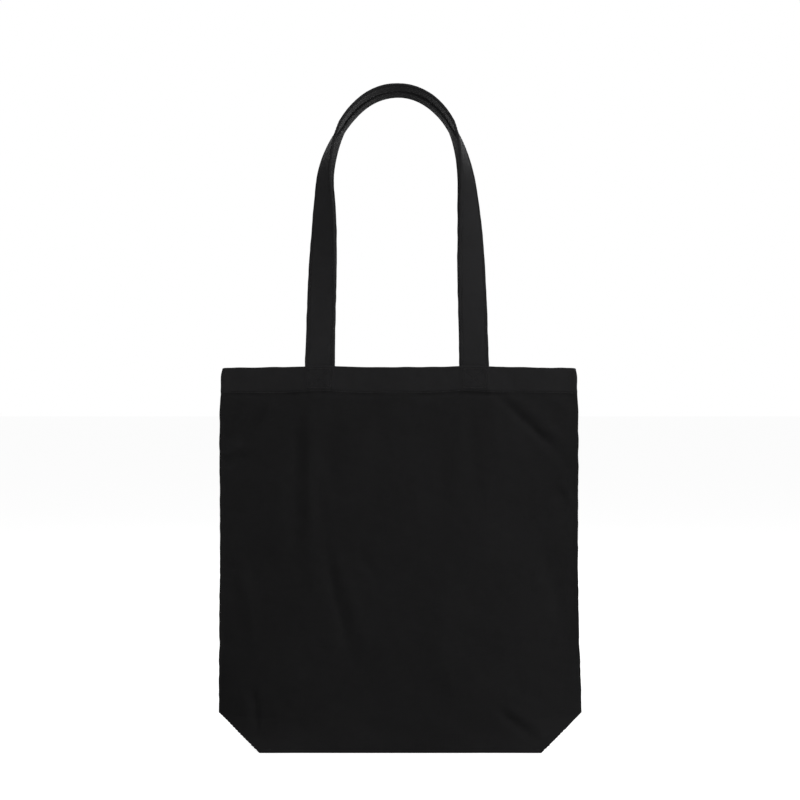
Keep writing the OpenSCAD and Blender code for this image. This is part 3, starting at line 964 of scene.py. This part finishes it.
def woven(name, dark, light, pitch, relief, sheen, hem=None):
    """Plain-weave cotton: crossing yarns with slubs, uneven dye, lint, yarn tops worn lighter with painted
    shade in the weave's hollows, and a painted highlight on the hem band where one is given.
    """
    m = Material(name)
    vector, x, y = m.flat_place()
    wobble = m.noise(vector, 90, 2, 0.5)
    shift = m.math("MULTIPLY", m.math("SUBTRACT", wobble, 0.5), 0.9 * MM)
    a = m.math("DIVIDE", m.math("ADD", x, shift), pitch)
    b = m.math("DIVIDE", m.math("SUBTRACT", y, shift), pitch * 1.08)
    sine_a = m.math("SINE", m.math("MULTIPLY", a, math.pi))
    sine_b = m.math("SINE", m.math("MULTIPLY", b, math.pi))
    over = m.math("MULTIPLY", sine_a, sine_b)
    warp = m.math("POWER", m.math("ABSOLUTE", sine_a), 0.6)
    weft = m.math("POWER", m.math("ABSOLUTE", sine_b), 0.6)
    warp_up = m.math("MULTIPLY", warp, m.ramp(over, -0.7, 0.7, 0.25, 1.0))
    weft_up = m.math("MULTIPLY", weft, m.ramp(over, -0.7, 0.7, 1.0, 0.25))
    yarn = m.math("MAXIMUM", warp_up, weft_up)
    slub_a = m.noise(vector, 1.0, 3, 0.6, (1 / pitch, 45, 1))
    slub_b = m.noise(vector, 1.0, 3, 0.6, (45, 1 / pitch, 1))
    slub = m.math("ADD", slub_a, slub_b)
    fibre = m.noise(vector, 4200, 3, 0.7)
    m.bump(m.math("MULTIPLY_ADD", fibre, 0.22, m.math("MULTIPLY_ADD", slub, 0.30, yarn)), relief)
    # colour: yarn tops lighter from wear and valleys darker as painted shade in the weave's hollows, cloudy
    # dye and a few pale fibres
    cloud = m.noise(vector, 22, 4, 0.6)
    fade = m.noise(vector, 5, 3, 0.55)
    tone = m.math("MULTIPLY_ADD", yarn, 0.42, m.math("MULTIPLY", cloud, 0.30))
    tone = m.math("MULTIPLY_ADD", slub, 0.16, tone)
    tone = m.math("MULTIPLY_ADD", fade, 0.18, tone)
    tone = m.ramp(tone, 0.28, 0.98, 0.0, 1.0)
    colour = m.blend(tone, (*dark, 1), (*light, 1))
    if hem:
        # painted highlight: the hem band, which stands proud towards the lights, is made a little paler
        in_hem = m.ramp(y, HEM_Z - 1 * MM, HEM_Z + 2 * MM, 0.0, 1.0)
        colour = m.blend(in_hem, colour, (*hem, 1), "ADD")
    lint = m.ramp(m.noise(vector, 1.0, 2, 0.5, (2600, 700, 1)), 0.735, 0.80, 0.0, 0.35)
    colour = m.blend(lint, colour, (0.11, 0.108, 0.112, 1))
    return m.finish(Base_Color=colour, Roughness=m.ramp(tone, 0, 1, 0.96, 0.82), Specular_IOR_Level=0.12,
                    Sheen_Weight=sheen, Sheen_Roughness=0.45, Sheen_Tint=(0.85, 0.86, 0.9, 1))


def spun_thread(name, dark, light):
    """Two-ply sewing thread with a twist."""
    m = Material(name)
    vector, x, y = m.flat_place()
    along = m.math("DIVIDE", x, 0.8 * MM)
    around = m.math("DIVIDE", y, 6 * STITCH_R)
    twist = m.math("SINE", m.math("MULTIPLY", m.math("ADD", along, around), math.tau))
    fibre = m.noise(vector, 3000, 2, 0.6)
    height = m.math("MULTIPLY_ADD", fibre, 0.3, m.ramp(twist, -1, 1, 0, 1))
    m.bump(height, 0.08 * MM)
    # painted shade: the thread's colour follows its bump, darker in the twist's grooves than on its ridges
    return m.finish(Base_Color=m.blend(height, (*dark, 1), (*light, 1)),
                    Roughness=m.ramp(fibre, 0, 1, 0.42, 0.62), Specular_IOR_Level=0.22, Sheen_Weight=0.02)


LOOKS = {
    # the canvas's hem colour is a painted highlight added over the hem band
    "canvas": woven("black_canvas", (0.0042, 0.0041, 0.0043), (0.0105, 0.0103, 0.0108),
                    pitch=0.75 * MM, relief=0.16 * MM, sheen=0.008, hem=(0.0043, 0.0042, 0.0044)),
    "strap": woven("black_strap", (0.0076, 0.0075, 0.0079), (0.0190, 0.0187, 0.0196),
                   pitch=0.62 * MM, relief=0.13 * MM, sheen=0.004),
    "thread": spun_thread("black_thread", (0.0050, 0.0049, 0.0052), (0.0135, 0.0132, 0.0138)),
}


def finish_piece(obj, slot, body, *nodes):
    obj.data.materials.append(LOOKS[slot])
    if body:
        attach(obj, body)
    if nodes:
        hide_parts(*nodes)


# ---------------------------------------------------------------- making the bag
def lean(points):
    """The slight lean of the base, and the mouth's lift at the straps and droop at its ends."""
    x, z = points[..., 0], points[..., 2]
    points = points.copy()
    lift = 1.3 * MM * bell(from_strap(x), 34 * MM) + 0.6 * MM
    lift = lift - 0.8 * MM * smooth(0.9, 1, x / (MOUTH_W / 2)) - 0.5 * MM * smooth(0.9, 1, -x / (MOUTH_W / 2))
    points[..., 0] += base_shift(z)
    points[..., 2] += lift * smooth(HEM_Z - 60 * MM, HEM_Z, z)
    return points


def hem_row(side, surface, back):
    """The row of stitches along the hem, outside and inside, where no strap hides it."""
    end = MOUTH_W / 2 - 4 * MM
    xs = np.linspace(-end, end, int(2 * end / STITCH_PITCH) + 1)
    zs = stitch_height(xs, back)
    marks = row_marks(surface, xs, zs)
    hidden = from_strap(xs) < STRAP_W / 2 + 2 * MM
    inside = row_marks(surface, xs, zs, 2 * HEM_R, inward=True)
    seam_end = MOUTH_W / 2 - 22 * MM
    marks += [m for m, h in zip(inside, hidden) if not h and abs(m[0][0]) < seam_end]
    row = stitches_piece(f"{side}_hem_stitch_row", marks)
    finish_piece(row, "thread", "bag", f"{side}_hem_stitching")


def stitched_squares(side, surface, outward):
    """The stitched squares that hold a handle's ends, seen outside on the hem and inside on the strap."""
    mid = (END_Z + BODY_H) / 2
    strap_face = outward * (STRAP_Y - STRAP_T / 2 + 0.1 * MM)
    for label, s in (("left", -1), ("right", 1)):
        marks = []
        middle = s * STRAP_X - HANDLE_SHIFT
        for a, b in box_cross_lines():
            for ends in along_line(a, b, 2.7 * MM):
                (p, n), (q, m) = (surface.at(middle + e[0], mid + e[1]) for e in ends)
                marks.append((p, q, (n + m) / 2))
                p, q = (np.array([middle + e[0], strap_face, mid + e[1]]) for e in ends)
                marks.append((p, q, np.array([0, -outward, 0])))
        square = stitches_piece(f"{side}_{label}_square_stitches", marks, 0.29 * MM)
        finish_piece(square, "thread", "bag", f"{side}_{label}_box_stitch")


def handle_pieces(side, strap, seed):
    """The handle, one strap from sewn end to sewn end, with its edge stitching."""
    piece = strap_piece(f"{side}_handle_strap", strap, seed)
    ends = [f"{side}_handle_{label}_end" for label in ("left", "right")]
    finish_piece(piece, "strap", None, f"{side}_handle", *ends)
    rows = stitches_piece(f"{side}_handle_stitch_rows", strap_marks(strap), 0.24 * MM)
    finish_piece(rows, "thread", None, f"{side}_handle_stitching")
    for o in (piece, rows):
        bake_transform(o)


wall, base = coarse_half()
walls, bases = [wall, wall * FLIP_Y], [base, base * FLIP_Y]
walls, bases = hang(walls, bases)
straps = {"front": Strap(False), "back": Strap(True)}
for side, k, outward, creases in (("front", 0, -1, FRONT_CREASES), ("back", 1, 1, BACK_CREASES)):
    back = side == "back"
    settled = lean(facing(walls[k], back))
    outer, inner, n = dress_wall(settled, creases, 10 + 10 * k, back)
    base_skins = dress_base(lean(facing(bases[k], back)), outer, inner)
    panel = panel_piece(f"{side}_panel_cloth", (outer, inner), base_skins, back)
    finish_piece(panel, "canvas", "bag", f"{side}_panel")
    hem = hem_piece(f"{side}_hem_fold", outer, n, back)
    finish_piece(hem, "canvas", "bag", f"{side}_hem")
    surface = Surface(outer, n, back)
    hem_row(side, surface, back)
    stitched_squares(side, surface, outward)
    handle_pieces(side, straps[side], 60 + 10 * k)

edges = []


def seam_piece(name, node, outer_edge, inward, normal, seed):
    """A seam allowance that reaches inward from the line that it is sewn along."""
    inner_edge = outer_edge + np.array(inward) * SEAM_W
    obj, free = overlocked_strip(f"{name}_seam_allowance", inner_edge, outer_edge, normal, seed)
    finish_piece(obj, "canvas", "bag", node)
    edges.append((free, -np.sign(np.round(inward)), normal))


floor_z = FLOOR_GAP + CANVAS_T + 1.5 * MM
heights = np.arange(CORNER_H + 3 * MM, HEM_Z - 1 * MM, SEAM_STEP)
for label, s in (("left", -1), ("right", 1)):
    x = s * (half_width(heights) - 1.1 * MM) + base_shift(heights)
    line = np.stack([x, 0 * x, heights], 1)
    seam_piece(f"{label}_side", f"{label}_side_seam", line, (-s, 0, 0), (0, 1, 0), 80 + s)
xs = np.arange(-BASE_W / 2 + 13 * MM, BASE_W / 2 - 13 * MM, SEAM_STEP) + SHIFT
rise = BASE_RISE * smooth(0, 60 * MM, BASE_W / 2 - np.abs(xs)) + floor_z
line = np.stack([xs, 0 * xs + 0.6 * MM, rise + 0.5 * MM], 1)
seam_piece("base", "bottom_seam", line, (0, 1, -0.01), (0, 0, 1), 91)
ys = np.arange(-BASE_D / 2 + 3.5 * MM, BASE_D / 2 - 3 * MM, SEAM_STEP)
for label, s in (("left", -1), ("right", 1)):
    line = np.stack([0 * ys + s * (BASE_W / 2 - 1.4 * MM) + SHIFT, ys, 0 * ys + floor_z], 1)
    seam_piece(f"{label}_corner", f"{label}_corner_seam", line, (-s, 0, 0), (0, 0, 1), 95 + s)
finish_piece(overlock_thread("overlock_threads", edges), "thread", "bag")

# lists the pieces of each panel's cloth as it was cut: its hem's double turn and stitches, and on the front
# all seam allowances; nothing uses these lists
SEAMS = ["left_side_seam_allowance", "right_side_seam_allowance", "base_seam_allowance",
         "left_corner_seam_allowance", "right_corner_seam_allowance", "overlock_threads"]
for side in ("front", "back"):
    names = [f"{side}_hem_fold", f"{side}_hem_stitch_row",
             f"{side}_left_square_stitches", f"{side}_right_square_stitches"]
    names += SEAMS if side == "front" else []

# ---------------------------------------------------------------- stage, light and camera
CAMERA_X = 1.1 * MM
CAMERA_AWAY = 1.5
CAMERA_Z = 0.363
VIEW_W = 0.8468               # width of the picture in the plane of the bag
WORLD_FILL = 0.10             # how much the white surroundings light the bag
FLOOR_FILL = 0.62             # and how much comes up from the floor
FLOOR_HALF = 30.0             # half the length of the floor's sides
LIGHT_AIM = 0.35              # the height that the lights point at


def floor_piece():
    """A seamless pale floor that is level all the way to the horizon."""
    mesh = bpy.data.meshes.new("floor")
    corners = [(x * FLOOR_HALF, y * FLOOR_HALF, 0) for x, y in ((-1, -1), (1, -1), (1, 1), (-1, 1))]
    mesh.from_pydata(corners, [], [(0, 1, 2, 3)])
    floor = place("floor", mesh)
    pale = Material("pale_floor")
    floor.data.materials.append(pale.finish(
        Base_Color=(0.3, 0.3, 0.3, 1), Roughness=0.9, Specular_IOR_Level=0.0,
        Emission_Color=(1, 1, 1, 1), Emission_Strength=0.94))
    floor.location.z = -0.4 * MM
    floor.visible_diffuse = False
    floor.visible_glossy = False


def area_light(name, where, size, power):
    """A soft box that points at the middle of the bag."""
    light = bpy.data.lights.new(name, "AREA")
    light.shape = "RECTANGLE"
    light.size, light.size_y = size
    light.energy = power
    obj = place(name, light)
    obj.location = where
    obj.rotation_euler = (Vector((0, 0, LIGHT_AIM)) - Vector(where)).to_track_quat("-Z", "Y").to_euler()


def studio_world():
    """White surroundings to the camera, which light the bag less, and mostly from below."""
    world = bpy.data.worlds.new("studio")
    world.use_nodes = True
    nodes, link = world.node_tree.nodes, world.node_tree.links.new
    background = nodes["Background"]
    background.inputs[0].default_value = (1, 1, 1, 1)
    path = nodes.new("ShaderNodeLightPath")
    direction = nodes.new("ShaderNodeTexCoord")
    height = nodes.new("ShaderNodeSeparateXYZ")
    fill = nodes.new("ShaderNodeMapRange")
    limits = (("From Min", -0.7), ("From Max", 0.1), ("To Min", FLOOR_FILL), ("To Max", WORLD_FILL))
    for key, value in limits:
        fill.inputs[key].default_value = value
    strength = nodes.new("ShaderNodeMix")
    strength.inputs[3].default_value = 1.0
    link(direction.outputs["Generated"], height.inputs[0])
    link(height.outputs["Z"], fill.inputs["Value"])
    link(path.outputs["Is Camera Ray"], strength.inputs[0])
    link(fill.outputs[0], strength.inputs[2])
    link(strength.outputs[0], background.inputs[1])
    return world


floor_piece()
bpy.context.scene.world = studio_world()
area_light("right_box", (1.65, -0.85, 0.95), (0.6, 1.2), 26)
area_light("left_box", (-1.25, -1.3, 1.1), (0.6, 1.0), 11)
area_light("back_right_box", (0.9, 1.7, 0.95), (0.6, 1.2), 17)
area_light("back_left_box", (-0.7, 1.7, 1.1), (0.6, 1.0), 11)
area_light("top_box", (0.1, -0.7, 1.9), (1.2, 0.5), 12)

SENSOR = 36.0                 # width of the camera's sensor in millimetres
camera_data = bpy.data.cameras.new("camera")
camera_data.sensor_width = SENSOR
camera_data.lens = SENSOR * CAMERA_AWAY / VIEW_W
camera_data.clip_start = 0.05
camera_data.clip_end = 100
camera = place("camera", camera_data)
camera.location = (CAMERA_X, -CAMERA_AWAY, CAMERA_Z)
camera.rotation_euler = (math.radians(90), 0, 0)
bpy.context.scene.camera = camera
bpy.context.scene.view_settings.view_transform = "Standard"
